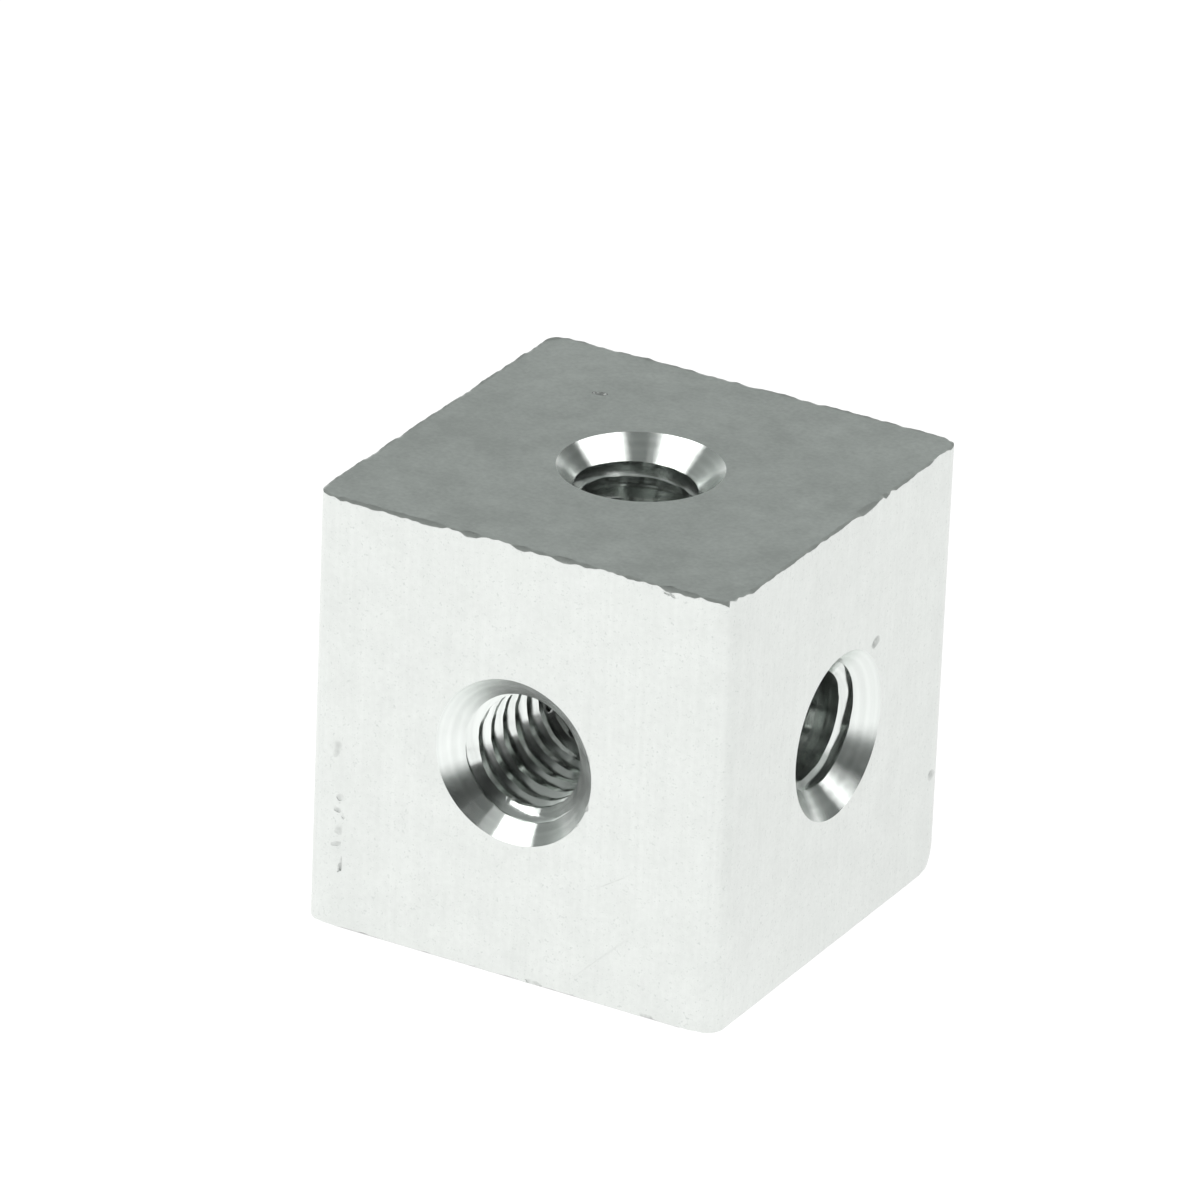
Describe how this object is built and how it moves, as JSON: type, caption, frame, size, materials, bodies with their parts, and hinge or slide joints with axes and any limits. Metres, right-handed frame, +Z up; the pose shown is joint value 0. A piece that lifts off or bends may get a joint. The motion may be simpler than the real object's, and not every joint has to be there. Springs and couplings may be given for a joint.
{
  "type": "cube connector",
  "caption": "Small aluminium cube with countersunk tapped holes that cross at its centre, for screwing beams, rods or plates together at right angles.",
  "frame": {"origin": "centre of the cube, where the axes of its holes cross", "axes": "+Z up along the bar that the cube is cut from, -Y out of the front face, +X out of the right face"},
  "size_m": [0.01, 0.01, 0.01],
  "materials": {
    "aluminium": "satin"
  },
  "bodies": {
    "root": {"connector_block": "aluminium"}
  },
  "joints": []
}
